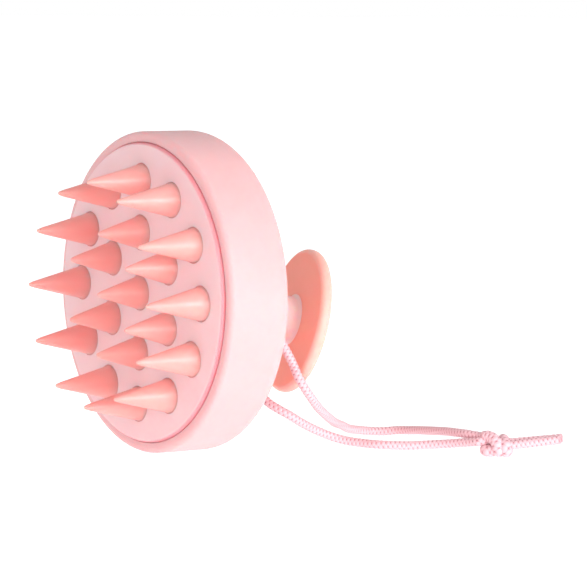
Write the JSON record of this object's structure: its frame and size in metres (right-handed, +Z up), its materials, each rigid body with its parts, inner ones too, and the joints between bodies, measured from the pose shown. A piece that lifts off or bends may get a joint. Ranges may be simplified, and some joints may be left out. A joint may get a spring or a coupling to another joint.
{
  "type": "scalp massager brush",
  "caption": "Round scalp massager brush with rings of cone-shaped silicone bristles, a mushroom knob handle and a knotted braided hanging cord.",
  "frame": {"origin": "on the surface that the brush stands on, under the middle of its box without the cord", "axes": "+Z up; +Y along the drum's level axis, from the bristles to the knob; +X to the side that the cord lies on"},
  "size_m": [0.0996, 0.1059, 0.08],
  "materials": {
    "shell_plastic": "satin soft-touch moulded plastic, pale pink",
    "inner_plastic": "plain moulded plastic",
    "screw_steel": "zinc plated",
    "silicone": "matte silicone, salmon pink",
    "knob_plastic": "satin moulded plastic, salmon pink",
    "cord_braid": "braided polyester, rose pink"
  },
  "bodies": {
    "root": {"housing": "shell_plastic", "backing_plate": "inner_plastic", "plate_screws": "screw_steel", "face_plate": "shell_plastic", "bristle_sheet": "silicone", "centre_bristle": "silicone", "inner_bristles": "silicone", "outer_bristles": "silicone", "handle_screw": "screw_steel", "handle_washer": "screw_steel", "handle_neck": "knob_plastic", "knob_disc": "knob_plastic", "knob_cap": "knob_plastic", "cord_in_neck": "cord_braid", "cord_near": "cord_braid", "cord_far": "cord_braid", "cord_knot": "cord_braid", "cord_tails": "cord_braid"}
  },
  "joints": []
}
